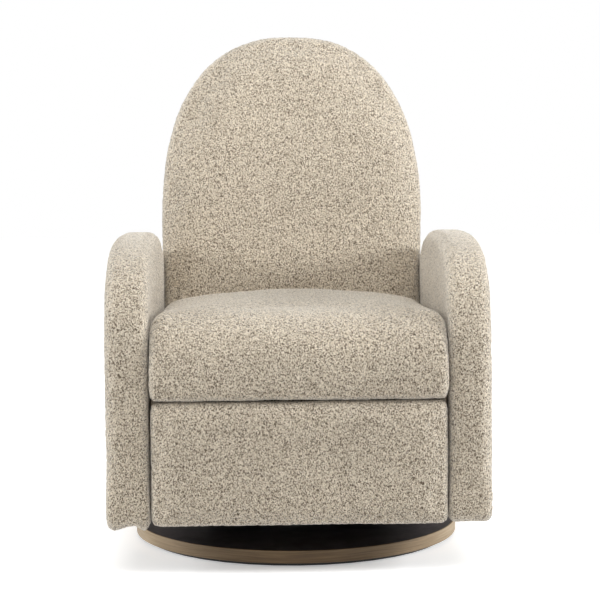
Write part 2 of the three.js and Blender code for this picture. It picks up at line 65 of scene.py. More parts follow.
ARM_SPRING = 0.330  # height where an arm's straight sides turn into its arch
ARM_EXPONENT = 3.2
BACK_TILT = math.radians(13)
BACK_SPRING = 0.290  # above the hinge, along the back
BACK_EXPONENT = 2.4
BACK_WAIST = 0.289  # half width of the back where it sits between the arms
BACK_ROUND = 0.054  # radius of its edges
BACK_CROWN = 0.022  # how far its front can swell
BACK_LEAN, BACK_SPREAD = 0.002, 0.005  # of the padding above the arms: sideways, and share wider
HINGE = (0.208, 0.382)  # (y, z)
FOOTREST_CROWN = 0.009
FOOT_CORNER = 0.026
ARM_CROWN = 0.003  # how far the arms' outer faces swell past their edges
ARM_ROUND, ARM_FOOT_ROUND = 0.027, 0.011  # radius of an arm's edges, and at its foot
SEAT_FALL, SEAT_RISE, SEAT_CORNER = 0.010, 0.0035, 0.006  # of the crown's sides, middle and front corners
SEAT_SPREAD = 0.0085  # share that the seat's sides widen to meet the arms
CONTROL_WELL = 0.0055  # depth of the soft well round the controls
RIM_RADIUS = 0.345  # of the base's wooden band

NUB_CELL, NUB_HEIGHT = 0.0075, 0.0024  # one yarn loop
LUMP_CELL, LUMP_HEIGHT = 0.055, 0.0009  # the unevenness of hand-stretched cloth
SUBDIVISIONS = 2
VOXEL = {"arm": 0.0125, "back": 0.014, "seat": 0.014, "footrest": 0.009, "rear": 0.0073}
SHEET_GAP, SHEET, SHEET_REACH = 0.0004, 0.0022, 0.030  # the cloth round the deck board's front edge


# ---------------------------------------------------------------- camera, lights and floor
def make_camera():
    """A camera that faces the chair from CAMERA's distance and height, turned, tipped down and rolled."""
    azimuth, down, roll = (math.radians(CAMERA[k]) for k in ("azimuth", "down", "roll"))
    right = Vector((math.cos(azimuth), math.sin(azimuth), 0))
    ahead = Vector((-math.sin(azimuth) * math.cos(down), math.cos(azimuth) * math.cos(down), -math.sin(down)))
    up = right.cross(ahead)
    leaned_right = right * math.cos(roll) + up * math.sin(roll)
    leaned_up = up * math.cos(roll) - right * math.sin(roll)
    data = bpy.data.cameras.new("camera")
    data.lens = CAMERA_LENS
    data.sensor_width = 36
    data.shift_x = CAMERA_SHIFT
    data.clip_end = 100
    camera = bpy.data.objects.new("camera", data)
    bpy.context.scene.collection.objects.link(camera)
    turn = Matrix((leaned_right, leaned_up, -ahead)).transposed().to_4x4()
    place = Vector((math.sin(azimuth), -math.cos(azimuth), 0)) * CAMERA["distance"]
    place.z = CAMERA["height"]
    camera.matrix_world = Matrix.Translation(place) @ turn
    bpy.context.scene.camera = camera


def make_studio():
    """White to the camera all round, and dimmer as a light. A wide sun and three softboxes light the rest."""
    scene = bpy.context.scene
    scene.view_settings.view_transform = "Standard"
    world = bpy.data.worlds.new("studio")
    world.use_nodes = True
    nodes, links = world.node_tree.nodes, world.node_tree.links
    fill = nodes["Background"]
    fill.inputs["Color"].default_value = (1, 1, 1, 1)
    fill.inputs["Strength"].default_value = SURROUND_LIGHT
    backdrop = nodes.new("ShaderNodeBackground")
    backdrop.inputs["Color"].default_value = (1, 1, 1, 1)
    seen = nodes.new("ShaderNodeLightPath")
    choice = nodes.new("ShaderNodeMixShader")
    links.new(seen.outputs["Is Camera Ray"], choice.inputs[0])
    links.new(fill.outputs[0], choice.inputs[1])
    links.new(backdrop.outputs[0], choice.inputs[2])
    links.new(choice.outputs[0], nodes["World Output"].inputs["Surface"])
    scene.world = world
    overhead = lamp("overhead", "SUN", 1.7, Vector((-0.06, 0.10, -1)), WARM_LIGHT)
    overhead.data.angle = math.radians(70)
    for name, (place, energy) in SOFTBOXES.items():
        softbox(name, Vector(place), energy)


def lamp(name, kind, energy, direction, colour):
    """A lamp that shines along direction and isn't itself seen."""
    data = bpy.data.lights.new(name, kind)
    data.energy = energy
    data.color = colour
    light = bpy.data.objects.new(name, data)
    light.rotation_euler = direction.to_track_quat("-Z", "Y").to_euler()
    light.visible_camera = False
    bpy.context.scene.collection.objects.link(light)
    return light


def softbox(name, place, energy):
    """A round soft lamp a metre wide, aimed at the middle of the chair."""
    light = lamp(name, "AREA", energy, LAMP_AIM - place, COOL_LIGHT)
    light.location = place
    light.data.shape = "DISK"
    light.data.size = 1.0


def make_floor():
    """A wide floor that the camera sees as nearly white. It glows, and it bounces less light than it shows,
    so that its shadows stay faint."""
    form = bmesh.new()
    bmesh.ops.create_circle(form, cap_ends=True, segments=96, radius=14)
    mesh = bpy.data.meshes.new("floor")
    form.to_mesh(mesh)
    form.free()
    floor = bpy.data.objects.new("floor", mesh)
    bpy.context.scene.collection.objects.link(floor)
    paint = Paint("studio_floor", roughness=0.75, Emission_Strength=FLOOR_GLOW)
    paint.shader.inputs["Emission Color"].default_value = (1, 1, 1, 1)
    mottle = paint.mottle(paint.place(), 1.5, (0.925, 0.925, 0.925), (0.95, 0.95, 0.95))
    seen = paint.node("LightPath").outputs["Is Camera Ray"]
    paint.colour(paint.between(seen, (FLOOR_BOUNCE,) * 3, mottle))
    mesh.materials.append(paint.material)


# ---------------------------------------------------------------- node materials
class Paint:
    """A principled material and short ways to add nodes to it."""

    def __init__(self, name, roughness=0.5, **sockets):
        self.material = bpy.data.materials.new(name)
        self.material.use_nodes = True
        self.tree = self.material.node_tree
        self.shader = self.tree.nodes["Principled BSDF"]
        self.shader.inputs["Roughness"].default_value = roughness
        for socket, value in sockets.items():
            self.shader.inputs[socket.replace("_", " ")].default_value = value

    def put(self, value, socket):
        if isinstance(value, bpy.types.NodeSocket):
            self.tree.links.new(value, socket)
        else:
            socket.default_value = value

    def node(self, kind, inputs=(), **settings):
        made = self.tree.nodes.new("ShaderNode" + kind)
        for key, value in settings.items():
            setattr(made, key, value)
        for key, value in dict(inputs).items():
            self.put(value, made.inputs[key])
        return made

    def math(self, operation, *values, clamp=False):
        return self.node("Math", enumerate(values), operation=operation, use_clamp=clamp).outputs[0]

    def vector(self, operation, *values):
        return self.node("VectorMath", enumerate(values), operation=operation).outputs[0]

    def place(self):
        return self.node("TexCoord").outputs["Object"]

    def stretched(self, place, scale):
        return self.vector("MULTIPLY", place, scale)

    def noise(self, place, scale, detail=2.0, roughness=0.5, distortion=0.0):
        inputs = {"Vector": place, "Scale": scale, "Detail": detail}
        inputs.update({"Roughness": roughness, "Distortion": distortion})
        return self.node("TexNoise", inputs)

    def ramp(self, value, *stops):
        """stops are (position, colour) pairs."""
        made = self.node("ValToRGB", {"Fac": value})
        elements = made.color_ramp.elements
        while len(elements) < len(stops):
            elements.new(0.5)
        for element, (position, colour) in zip(elements, stops):
            element.position = position
            element.color = (*colour, 1)
        return made.outputs["Color"]

    def between(self, share, low, high):
        """low where share is 0 and high where it is 1."""
        made = self.node("Mix", {"Factor": share}, data_type="RGBA")
        self.put(low if isinstance(low, bpy.types.NodeSocket) else (*low, 1), made.inputs[6])
        self.put(high if isinstance(high, bpy.types.NodeSocket) else (*high, 1), made.inputs[7])
        return made.outputs[2]

    def range(self, value, low, high, to_low=0.0, to_high=1.0):
        inputs = {"Value": value, "From Min": low, "From Max": high, "To Min": to_low, "To Max": to_high}
        return self.node("MapRange", inputs).outputs[0]

    def mottle(self, place, scale, low, high, detail=3.0):
        return self.between(self.noise(place, scale, detail).outputs[0], low, high)

    def wear(self, radius, low=0.02, high=0.35):
        """1 along worn edges, where a rounded normal leaves the flat one."""
        rounded = self.node("Bevel", {"Radius": radius}, samples=6).outputs[0]
        flat = self.node("NewGeometry").outputs["Normal"]
        aligned = self.node("VectorMath", enumerate((rounded, flat)), operation="DOT_PRODUCT")
        return self.range(self.math("SUBTRACT", 1.0, aligned.outputs["Value"]), low, high)

    def colour(self, value):
        self.put(value, self.shader.inputs["Base Color"])

    def roughness(self, value):
        self.put(value, self.shader.inputs["Roughness"])

    def bump(self, height, strength, distance, under=None):
        inputs = {"Height": height, "Strength": strength, "Distance": distance}
        made = self.node("Bump", inputs)
        if under is not None:
            self.put(under, made.inputs["Normal"])
        self.put(made.outputs[0], self.shader.inputs["Normal"])
        return made.outputs[0]


def boucle():
    """Looped boucle: pale wiggling loops close together, with painted shade in the pits between them, and a
    soft halo of fibre.
    """
    paint = Paint("boucle", roughness=0.95, Sheen_Weight=1.0, Sheen_Roughness=0.45)
    paint.shader.inputs["Sheen Tint"].default_value = (1, 0.975, 0.92, 1)
    paint.shader.inputs["Specular IOR Level"].default_value = 0.10
    place = paint.stretched(paint.place(), (1, 1, 0.8))
    push = paint.vector("SUBTRACT", paint.noise(place, 420, 1, 0.5).outputs["Color"], (0.5, 0.5, 0.5))
    bent = paint.vector("ADD", place, paint.vector("MULTIPLY", push, (0.004, 0.004, 0.004)))
    cells = paint.node("TexVoronoi", {"Vector": bent, "Scale": 300.0, "Smoothness": 0.2}, feature="SMOOTH_F1")
    dome = paint.range(cells.outputs["Distance"], 0.15, 0.62, 1, 0)
    curl = paint.noise(bent, 430, 1, 0.5, 0.5).outputs[0]
    thread = paint.range(curl, 0.36, 0.56, 0, 1)
    height = paint.math("ADD", paint.math("MULTIPLY", dome, 0.50), paint.math("MULTIPLY", thread, 0.50))
    # The yarn's own cream, with painted shade that darkens it the lower a point lies, deepest in the pits
    # between the loops.
    yarn_with_pit_shade = paint.ramp(
        height,
        (0.14, (0.132, 0.099, 0.066)),
        (0.34, (0.420, 0.347, 0.258)),
        (0.53, (0.668, 0.575, 0.450)),
        (0.85, (0.845, 0.755, 0.620)),
    )
    patch = paint.range(paint.noise(place, 9, 3).outputs[0], 0.3, 0.7, 0.935, 1.005)
    paint.colour(paint.node("VectorMath", {0: yarn_with_pit_shade, "Scale": patch}, operation="SCALE").outputs[0])
    fine = paint.bump(paint.noise(place, 900, 2).outputs[0], 0.2, 0.0006)
    paint.bump(height, 0.8, 0.0024, fine)
    return paint.material


def band_wood():
    """Bent wood edge band: lacquered grain that runs round the rim, with painted shade darkest at the very
    front and painted side light on the ends.
    """
    paint = Paint("band_wood", roughness=0.5, Coat_Weight=0.12, Coat_Roughness=0.35)
    axes = paint.node("SeparateXYZ", {"Vector": paint.place()}).outputs
    along = paint.math("MULTIPLY", paint.math("ARCTAN2", axes["Y"], axes["X"]), RIM_RADIUS)
    unrolled = paint.node("CombineXYZ", {"X": along, "Y": axes["Z"]}).outputs[0]
    wave = paint.vector("MULTIPLY", paint.noise(unrolled, 5, 2).outputs["Color"], (0, 0.012, 0))
    grain_place = paint.stretched(paint.vector("ADD", unrolled, wave), (9, 330, 1))
    grain = paint.noise(grain_place, 1.0, 5, 0.62, 0.4).outputs[0]
    pores = paint.noise(paint.stretched(unrolled, (60, 2200, 1)), 1.0, 2).outputs[0]
    # Painted shade and light: the front of the band, in the shade under the chair, takes the dark middle
    # ramp; the ends at the sides take a lighter ramp that stands in for light from the side lamps.
    middle = paint.ramp(
        grain,
        (0.25, (0.062, 0.032, 0.010)),
        (0.48, (0.125, 0.070, 0.023)),
        (0.75, (0.185, 0.112, 0.043)),
    )
    side_lit_ends = paint.ramp(
        grain,
        (0.25, (0.240, 0.165, 0.088)),
        (0.48, (0.340, 0.250, 0.148)),
        (0.75, (0.425, 0.325, 0.208)),
    )
    # Painted shade: the colour runs from the shaded dark front to the side-lit ends along Y.
    painted_shade_tone = paint.between(paint.range(axes["Y"], -RIM_RADIUS, -0.14), middle, side_lit_ends)
    pored = paint.between(paint.range(pores, 0.62, 0.74, 0, 0.55), painted_shade_tone, (0.110, 0.060, 0.028))
    patch = paint.range(paint.noise(unrolled, 4, 2).outputs[0], 0.3, 0.7, 0.9, 1.1)
    shaded = paint.node("VectorMath", {0: pored, "Scale": patch}, operation="SCALE").outputs[0]
    paint.colour(paint.between(paint.math("MULTIPLY", paint.wear(0.0012), 0.35), shaded, (0.52, 0.38, 0.22)))
    paint.roughness(paint.range(grain, 0.3, 0.7, 0.58, 0.42))
    paint.bump(paint.math("ADD", grain, paint.math("MULTIPLY", pores, 0.5)), 0.25, 0.0006)
    return paint.material


def plywood():
    """Sawn plywood: long grain on the faces and thin plies along the edges."""
    paint = Paint("plywood", roughness=0.68)
    place = paint.place()
    grain = paint.noise(paint.stretched(place, (3, 40, 60)), 1.0, 5, 0.6, 0.6).outputs[0]
    face = paint.ramp(
        grain,
        (0.30, (0.360, 0.230, 0.120)),
        (0.55, (0.560, 0.400, 0.235)),
        (0.80, (0.690, 0.540, 0.350)),
    )
    plies = paint.node("TexWave", {"Vector": place, "Scale": 120.0, "Distortion": 0.6}, bands_direction="X")
    edge = paint.math("MULTIPLY", paint.wear(0.003), paint.range(plies.outputs[1], 0.4, 0.6, 0, 0.8))
    paint.colour(paint.between(edge, face, (0.260, 0.150, 0.075)))
    paint.roughness(paint.range(grain, 0.3, 0.7, 0.75, 0.6))
    paint.bump(grain, 0.3, 0.0007)
    return paint.material


def powder_coat():
    """Black powder coat on steel: orange-peel skin, dusty patches, and bright rubbed edges."""
    paint = Paint("powder_coat", roughness=0.48)
    place = paint.place()
    skin = paint.mottle(place, 25, (0.022, 0.022, 0.024), (0.040, 0.040, 0.043))
    scuffs = paint.range(paint.noise(place, 45, 3).outputs[0], 0.4, 0.62)
    rubbed = paint.math("MULTIPLY", paint.wear(0.0011), scuffs)
    paint.colour(paint.between(rubbed, skin, (0.300, 0.300, 0.310)))
    paint.put(paint.math("MULTIPLY", rubbed, 0.9), paint.shader.inputs["Metallic"])
    paint.roughness(paint.range(paint.noise(place, 18, 3).outputs[0], 0.3, 0.7, 0.40, 0.60))
    paint.bump(paint.noise(place, 900, 2).outputs[0], 0.35, 0.0003)
    return paint.material


def zinc_plate():
    """Zinc-plated steel: drawn lines, a faint warm and cool cast, and dull spots."""
    paint = Paint("zinc_plate", roughness=0.34, Metallic=1.0)
    place = paint.place()
    cast = paint.mottle(place, 14, (0.500, 0.520, 0.550), (0.680, 0.660, 0.600))
    spots = paint.range(paint.noise(place, 70, 4, 0.6).outputs[0], 0.56, 0.70, 0, 0.6)
    paint.colour(paint.between(spots, cast, (0.360, 0.360, 0.370)))
    drawn = paint.noise(paint.stretched(place, (900, 60, 60)), 1.0, 3).outputs[0]
    sheen = paint.range(drawn, 0.3, 0.7, 0.26, 0.42)
    paint.roughness(paint.math("ADD", sheen, paint.math("MULTIPLY", spots, 0.3)))
    paint.bump(drawn, 0.15, 0.0002)
    return paint.material


def moulded_plastic(name, low, high, roughness):
    """Spark-textured plastic with slightly polished edges."""
    paint = Paint(name, roughness=roughness)
    place = paint.place()
    worn = paint.math("MULTIPLY", paint.wear(0.0008), 0.35)
    polished = tuple(min(1, c * 1.8 + 0.02) for c in high)
    paint.colour(paint.between(worn, paint.mottle(place, 40, low, high), polished))
    skin = paint.noise(place, 60, 2).outputs[0]
    paint.roughness(paint.range(skin, 0.3, 0.7, roughness - 0.06, roughness + 0.08))
    paint.bump(paint.noise(place, 2200, 1).outputs[0], 0.3, 0.0002)
    return paint.material


def black_laminate():
    """Satin black top of the base, with fine speckle, dust and faint rub marks that follow the swivel."""
    paint = Paint("black_laminate", roughness=0.42)
    place = paint.place()
    axes = paint.node("SeparateXYZ", {"Vector": place}).outputs
    squares = paint.math("ADD", paint.math("POWER", axes["X"], 2.0), paint.math("POWER", axes["Y"], 2.0))
    radius = paint.math("SQRT", squares)
    turns = paint.noise(paint.node("CombineXYZ", {"X": radius}).outputs[0], 320, 3).outputs[0]
    dust = paint.range(paint.noise(place, 12, 4, 0.6).outputs[0], 0.45, 0.75, 0, 0.25)
    speckle = paint.mottle(place, 900, (0.042, 0.035, 0.038), (0.078, 0.064, 0.069), 1.0)
    paint.colour(paint.between(dust, speckle, (0.040, 0.038, 0.036)))
    paint.roughness(paint.math("ADD", paint.range(turns, 0.3, 0.7, 0.36, 0.48), dust))
    paint.bump(paint.noise(place, 1500, 1).outputs[0], 0.2, 0.0002)
    return paint.material


def felt():
    """Needled felt: dense short fibres in dark greys."""
    paint = Paint("felt", roughness=0.98, Sheen_Weight=0.4, Sheen_Roughness=0.6)
    place = paint.place()
    fibres = paint.noise(paint.stretched(place, (500, 900, 700)), 1.0, 4, 0.7, 1.0).outputs[0]
    paint.colour(paint.between(fibres, (0.012, 0.012, 0.013), (0.060, 0.058, 0.056)))
    paint.bump(fibres, 0.6, 0.0008)
    return paint.material


# ---------------------------------------------------------------- mesh helpers
def points_of(obj):
    flat = np.empty(len(obj.data.vertices) * 3)
    obj.data.vertices.foreach_get("co", flat)
    return flat.reshape(-1, 3)


def set_points(obj, points):
    obj.data.vertices.foreach_set("co", points.ravel())
    obj.data.update()


def rise(values, start, length):
    """0 up to start and 1 from start + length on, in a straight ramp between."""
    return np.clip((values - start) / length, 0, 1)


def fade(values, end, length):
    """1 up to end - length and 0 from end on, in a straight ramp between."""
    return np.clip((end - values) / length, 0, 1)


def smoothed(share):
    """Eases a share from 0 to 1 in and out."""
    return share**2 * (3 - 2 * share)


def mound(offset, width):
    """A smooth hill, 1 at no offset and nearly 0 past twice the width."""
    return np.exp(-((offset / width) ** 2))


def turned(points, matrix):
    grid = np.array(matrix)
    return points @ grid[:3, :3].T + grid[:3, 3]


def linked(name, form):
    """A scene object from a bmesh, which is used up."""
    mesh = bpy.data.meshes.new(name)
    form.to_mesh(mesh)
    form.free()
    obj = bpy.data.objects.new(name, mesh)
    bpy.context.scene.collection.objects.link(obj)
    return obj


def bake(obj):
    """Makes the result of the object's modifiers its own mesh."""
    graph = bpy.context.evaluated_depsgraph_get()
    mesh = bpy.data.meshes.new_from_object(obj.evaluated_get(graph), depsgraph=graph)
    obj.modifiers.clear()
    obj.data = mesh


def slab(name, outline, thickness, edge, place):
    """A padded form: an outline of (a, b) points with thickness along c, its rims rounded, set in place."""
    form = bmesh.new()
    face = form.faces.new([form.verts.new((a, b, -thickness / 2)) for a, b in outline])
    raised = bmesh.ops.extrude_face_region(form, geom=[face])["geom"]
    lifted = [v for v in raised if isinstance(v, bmesh.types.BMVert)]
    bmesh.ops.translate(form, vec=(0, 0, thickness), verts=lifted)
    bmesh.ops.recalc_face_normals(form, faces=form.faces)
    rims = [e for e in form.edges if abs(e.verts[0].co.z - e.verts[1].co.z) < 1e-6]
    bmesh.ops.bevel(form, geom=rims, offset=edge, segments=6, profile=0.5, affect="EDGES", clamp_overlap=True)
    obj = linked(name, form)
    obj.data.transform(place)
    return obj


def copied(name, node):
    """A CAD node's form as a new object, with its shared points merged."""
    form = bmesh.new()
    form.from_mesh(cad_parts[node].data)
    bmesh.ops.remove_doubles(form, verts=form.verts, dist=1e-5)
    return linked(name, form)


def quarter(centre, radius, start, steps=6):
    """A quarter turn anticlockwise about centre, from the angle start."""
    angles = (start + math.pi / 2 * i / steps for i in range(steps + 1))
    return [(centre[0] + radius * math.cos(t), centre[1] + radius * math.sin(t)) for t in angles]


def arch(half, waist, foot, spring, top, exponent, corner, steps=40):
    """Straight sides from waist to half width up to the spring line, then half a superellipse."""
    points = quarter((waist - corner, foot + corner), corner, -math.pi / 2)
    for i in range(steps + 1):
        t = math.pi * i / steps
        across = half * math.copysign(abs(math.cos(t)) ** (2 / exponent), math.cos(t))
        points.append((across, spring + (top - spring) * math.sin(t) ** (2 / exponent)))
    return points + quarter((corner - waist, foot + corner), corner, math.pi)


def rounded_rectangle(half_a, half_b, corner):
    a, b = half_a - corner, half_b - corner
    centres = ((a, -b), (a, b), (-a, b), (-a, -b))
    return [p for i, c in enumerate(centres) for p in quarter(c, corner, (i - 1) * math.pi / 2)]


def lattice_random(cells, salt):
    """A repeatable number from 0 to 1 for each whole-numbered cell."""
    whole = cells.astype(np.int64)
    mixed = (whole[:, 0] * 73856093) ^ (whole[:, 1] * 19349663) ^ (whole[:, 2] * 83492791) ^ (salt * 40503)
    mixed = ((mixed ^ (mixed >> 13)) * 1274126177) & 0xFFFFFFFF
    return ((mixed ^ (mixed >> 16)) & 0xFFFF) / 65535


def nearest_loop(points, cell):
    """Distance from each point to the nearest yarn loop, one scattered in each cell, in cells."""
    scaled = points / cell
    nearest = np.full(len(points), 9.0)
    for shift in itertools.product((-1, 0, 1), repeat=3):
        corner = np.floor(scaled) + shift
        loop = corner + np.stack([lattice_random(corner, salt) for salt in (1, 2, 3)], 1)
        nearest = np.minimum(nearest, np.linalg.norm(scaled - loop, axis=1))
    return nearest


def rolling(points, cell, salt=7):
    """Smooth noise from -1 to 1 with features of about one cell."""
    scaled = points / cell
    base = np.floor(scaled)
    share = smoothed(scaled - base)
    total = np.zeros(len(points))
    for shift in itertools.product((0, 1), repeat=3):
        weight = np.prod(np.where(shift, share, 1 - share), axis=1)
        total += weight * lattice_random(base + shift, salt)
    return 2 * total - 1


# ---------------------------------------------------------------- upholstery
def remeshed(obj, voxel, smoothing):
    remesh = obj.modifiers.new("Remesh", "REMESH")
    remesh.mode = "VOXEL"
    remesh.voxel_size = voxel
    relax = obj.modifiers.new("Smooth", "SMOOTH")
    relax.factor = 0.5
    relax.iterations = smoothing
    bake(obj)


def swell(obj, seam, cap, pressure=4.0, frames=20):
    """Blows the form up as cloth. seam gives 0 to 1 for each point held by a seam, and cap limits the travel
    on each axis."""
    before = points_of(obj)
    held = obj.vertex_groups.new(name="held")
    for i, weight in enumerate(seam(before)):
        held.add([i], float(weight), "REPLACE")
    cloth = obj.modifiers.new("Cloth", "CLOTH")
    cloth.settings.quality = 4
    cloth.settings.use_pressure = True
    cloth.settings.uniform_pressure_force = pressure
    cloth.settings.effector_weights.gravity = 0
    cloth.settings.vertex_group_mass = "held"
    cloth.collision_settings.use_collision = False
    cloth.point_cache.frame_start = 1
    cloth.point_cache.frame_end = frames
    for step in range(1, frames + 1):
        bpy.context.scene.frame_set(step)
    bake(obj)
    bpy.context.scene.frame_set(1)
    obj.vertex_groups.clear()
    limit = np.array(cap)
    set_points(obj, before + limit * np.tanh((points_of(obj) - before) / limit))


def fit(obj, target, inset=NUB_HEIGHT / 2, proud=(0, 0, 0)):
    """Stretches the piece a little to the box of its CAD node's points, less the nubs.
    proud lets the crowned middle of its faces stand out of the box, away from the middle of the chair."""
    lowest, highest = target.min(0) + inset, target.max(0) - inset
    outward = np.sign(lowest + highest)
    lowest += np.where(outward < 0, outward * np.array(proud), 0)
    highest += np.where(outward > 0, outward * np.array(proud), 0)
    points = points_of(obj)
    share = (points - points.min(0)) / (points.max(0) - points.min(0))
    set_points(obj, lowest + share * (highest - lowest))


def press_out(obj, shell, share=None, both=False):
    """Moves points that sank inside the shell back out to its surface, by share of the way.
    With both, points that stand outside it are drawn in as well. The shell is used up."""
    form = bmesh.new()
    form.from_mesh(shell.data)
    tree = BVHTree.FromBMesh(form)
    form.free()
    bpy.data.objects.remove(shell)
    points = points_of(obj)
    weights = np.ones(len(points)) if share is None else share(points)
    for i in np.flatnonzero(weights > 0):
        point = Vector(points[i])
        surface, normal, _, _ = tree.find_nearest(point)
        if both or (point - surface).dot(normal) < 0:
            points[i] += weights[i] * np.array(surface - point)
    set_points(obj, points)


def refine(obj, pressed=None):
    """Subdivides step by step. pressed, if given, sets the coarser steps back onto their shells."""
    for _ in range(SUBDIVISIONS):
        if pressed:
            pressed()
        smooth = obj.modifiers.new("Subdivision", "SUBSURF")
        smooth.levels = smooth.render_levels = 1
        bake(obj)


def nub(obj):
    """Raises the yarn loops and the slight unevenness of hand-stretched cloth."""
    points = points_of(obj)
    normals = np.empty(len(points) * 3)
    obj.data.vertex_normals.foreach_get("vector", normals)
    loops = 1 - np.clip(nearest_loop(points, NUB_CELL), 0, 1) ** 2
    height = NUB_HEIGHT * (loops - loops.mean()) + LUMP_HEIGHT * rolling(points, LUMP_CELL)
    set_points(obj, points + normals.reshape(-1, 3) * height[:, None])
    obj.data.polygons.foreach_set("use_smooth", np.ones(len(obj.data.polygons), bool))


def upholstered(obj, node, body, cloth):
    """Hands a finished cushion to the frame in place of its CAD node."""
    obj.data.materials.clear()
    obj.data.materials.append(cloth)
    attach(obj, body)
    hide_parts(node)


def make_arm(label, side, cloth):
    node = f"arm_pad_{label}"
    low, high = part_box(node)
    middle, half = (low + high) / 2, (high - low) / 2
    outline = arch(half.y, half.y, low.z, ARM_SPRING, high.z, ARM_EXPONENT, FOOT_CORNER)
    across = Matrix(((0, 0, 1, middle.x), (1, 0, 0, middle.y), (0, 1, 0, 0), (0, 0, 0, 1)))
    arm = slab(f"arm_{label}", outline, 2 * half.x, ARM_ROUND, across)
    remeshed(arm, VOXEL["arm"], 1)
    edge = half.x - 0.012
    thickness = 2 * half.x - 0.002

    def seam(points):
        off_edge = np.abs(np.abs(points[:, 0] - middle.x) - edge)
        return np.clip(1 - off_edge / 0.014, 0, 1) * 0.9

    def near_foot(points):
        return fade(points[:, 2], low.z + 0.11, 0.06)

    def pressed():
        press_out(arm, slab("shell", outline, thickness, ARM_ROUND, across))
        press_out(arm, slab("shell", outline, thickness, ARM_FOOT_ROUND, across), near_foot)

    swell(arm, seam, (0.006, 0.002, 0.002))
    fit(arm, points_of(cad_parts[node]), proud=(ARM_CROWN, 0, 0))
    refine(arm, pressed)
    if side > 0:
        sink_controls(arm)
    else:
        tuck_under(arm, low, high)
    nub(arm)
    upholstered(arm, node, "carriage", cloth)


def tuck_under(arm, low, high):
    """The cloth folded under the left arm's front foot hangs a little lower at both corners."""
    points = points_of(arm)
    at_front = mound(points[:, 1] - low.y - 0.02, 0.05)
    fold = 0.010 * mound(points[:, 0] - high.x + 0.013, 0.012)
    corner = 0.009 * mound(points[:, 0] - low.x - 0.012, 0.026)
    foot = fade(points[:, 2], low.z + 0.05, 0.05)
    points[:, 2] -= foot * at_front * (fold + corner)
    set_points(arm, points)


def sink_controls(arm):
    """Presses the arm's outer face in round the control housing, which then stands in a soft well."""
    low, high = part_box("control_housing")
    points = points_of(arm)
    past = np.maximum(np.maximum(low.y - points[:, 1], points[:, 1] - high.y), 0)
    over = np.maximum(np.maximum(low.z - points[:, 2], points[:, 2] - high.z), 0)
    away = np.hypot(past, over)
    depth = CONTROL_WELL * smoothed(fade(away, 0.014, 0.014))
    outer = points[:, 0] > low.x - 0.004
    points[:, 0] -= np.where(outer, depth, 0)
    inside = (away < 0.002) & outer
    points[:, 0] = np.where(inside, np.minimum(points[:, 0], low.x + 0.006), points[:, 0])
    set_points(arm, points)


def make_back(cloth):
    """Made lying in its own frame, with its foot at the hinge and its front up, and then stood up."""
    own = Matrix.Translation((0, *HINGE)) @ Matrix.Rotation(math.pi / 2 - BACK_TILT, 4, "X")
    solid = turned(points_of(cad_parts["back_pad"]), own.inverted())
    low, high = solid.min(0), solid.max(0)
    thickness, middle = high[2] - low[2], (low[2] + high[2]) / 2
    outline = arch(high[0], BACK_WAIST, low[1], BACK_SPRING, high[1], BACK_EXPONENT, FOOT_CORNER)
    back = slab("back", outline, thickness, BACK_ROUND, Matrix.Translation((0, 0, middle)))
    remeshed(back, VOXEL["back"], 1)

    def seam(points):
        rear = np.clip(1 - np.abs(points[:, 2] - (low[2] + 0.020)) / 0.022, 0, 1)
        foot = np.clip((0.02 - points[:, 1]) / 0.03, 0, 1)
        return np.maximum(rear * 0.95, foot)

    swell(back, seam, (0.002, 0.002, BACK_CROWN))
    fit(back, solid)
    rim = Matrix.Translation((0, 0, middle - BACK_CROWN / 2))

    def pressed():
        press_out(back, slab("shell", outline, thickness - BACK_CROWN, BACK_ROUND * 0.8, rim))

    refine(back, pressed)
    points = points_of(back)
    above_arms = rise(points[:, 1], 0.20, 0.10)
    points[:, 0] = points[:, 0] * (1 + BACK_SPREAD * above_arms) + BACK_LEAN * above_arms
    set_points(back, points)
    nub(back)
    back.data.transform(own)
    upholstered(back, "back_pad", "back", cloth)


def make_seat(cloth):
    low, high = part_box("seat_cushion")
    seat = copied("seat", "seat_cushion")
    remeshed(seat, VOXEL["seat"], 3)

    def seam(points):
        under = fade(points[:, 2], low.z + 0.030, 0.020)
        behind = rise(points[:, 1], high.y - 0.025, 0.020)
        return np.maximum(under, behind * 0.8)

    def rim(points):
        beside_arms = np.clip((np.abs(points[:, 0]) - 0.03) / 0.17, 0, 0.95)
        front = fade(points[:, 1], low.y + 0.12, 0.06)
        return np.maximum(beside_arms, front)

    def pressed():
        press_out(seat, copied("shell", "seat_cushion"), rim, both=True)
        press_out(seat, front_border(low, high))

    swell(seat, seam, (0.002, 0.012, 0.024))
    fit(seat, points_of(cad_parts["seat_cushion"]))
    refine(seat, pressed)
    settle_shoulders(seat, low)
    nub(seat)
    upholstered(seat, "seat_cushion", "carriage", cloth)


def settle_shoulders(seat, low):
    """The crown falls away smoothly toward the arms at the back, and the front corners stand full."""
    points = points_of(seat)
    away = np.abs(points[:, 0])
    behind_front = points[:, 1] - low.y
    upper = rise(points[:, 2], low.z + 0.08, 0.06)
    fall = SEAT_FALL * rise(behind_front, 0.16, 0.20) * smoothed(rise(away, 0.02, 0.17))
    crown = SEAT_RISE * mound(away, 0.13) * mound(behind_front - 0.33, 0.09)
    corner = SEAT_CORNER * mound(away - 0.266, 0.018) * mound(behind_front - 0.065, 0.050)
    points[:, 2] += upper * (crown + corner - fall)
    points[:, 0] *= 1 + SEAT_SPREAD * rise(away, 0.20, 0.08)
    set_points(seat, points)


def front_border(low, high):
    """The seat's lower front: straight down between the arms, and over the front of the deck board."""
    board_low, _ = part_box("seat_front_board")
    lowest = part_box("footrest_pad")[1].z + 0.0018
    highest = low.z + 0.058
    half = (high - low) / 2
    front, rear = low.y + 0.002, board_low.y - 0.003
    middle = Vector((0, (front + rear) / 2, (lowest + highest) / 2))
    outline = rounded_rectangle(half.x - 0.001, (highest - lowest) / 2, 0.002)
    return slab("border", outline, rear - front, 0.006, facing_front(middle))


